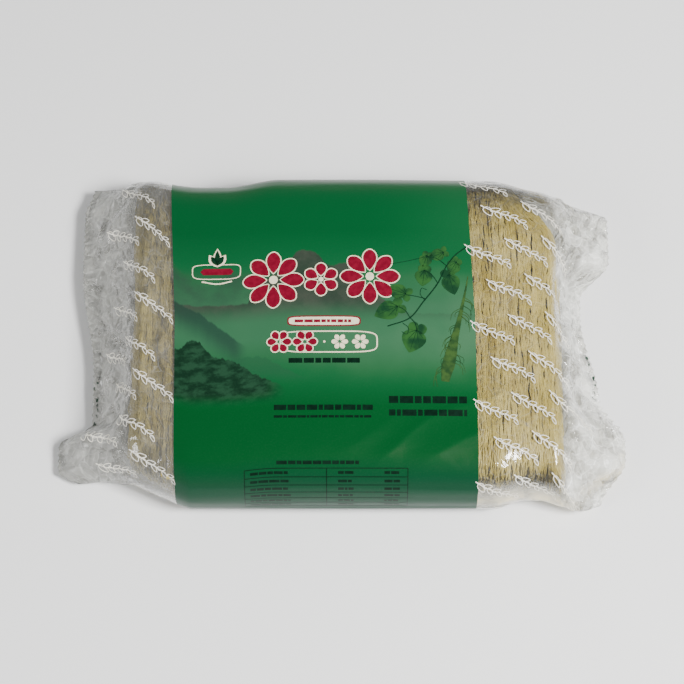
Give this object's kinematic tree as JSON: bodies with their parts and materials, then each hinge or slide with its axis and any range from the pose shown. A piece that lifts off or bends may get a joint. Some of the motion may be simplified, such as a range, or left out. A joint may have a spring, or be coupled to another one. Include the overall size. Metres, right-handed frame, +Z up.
{
  "type": "pack of dried rice vermicelli",
  "caption": "Flat sealed clear film pack holding a block of dried rice vermicelli, with a wide green printed band round its middle and crumpled loose ends.",
  "frame": {"origin": "middle of the outline, on the surface that the pack lies on", "axes": "+X along the pack, along its longest side; +Y across it, towards its back side; +Z up, out of the printed front"},
  "size_m": [0.303, 0.187, 0.046],
  "materials": {
    "printed_film": "glossy thin film printed green on its inside",
    "clear_film": "thin clear crinkled film with white print marks",
    "noodles": "dry, matt, slightly translucent straw-coloured rice strands"
  },
  "bodies": {
    "root": {"sealed_pack": "printed_film"}
  },
  "joints": []
}
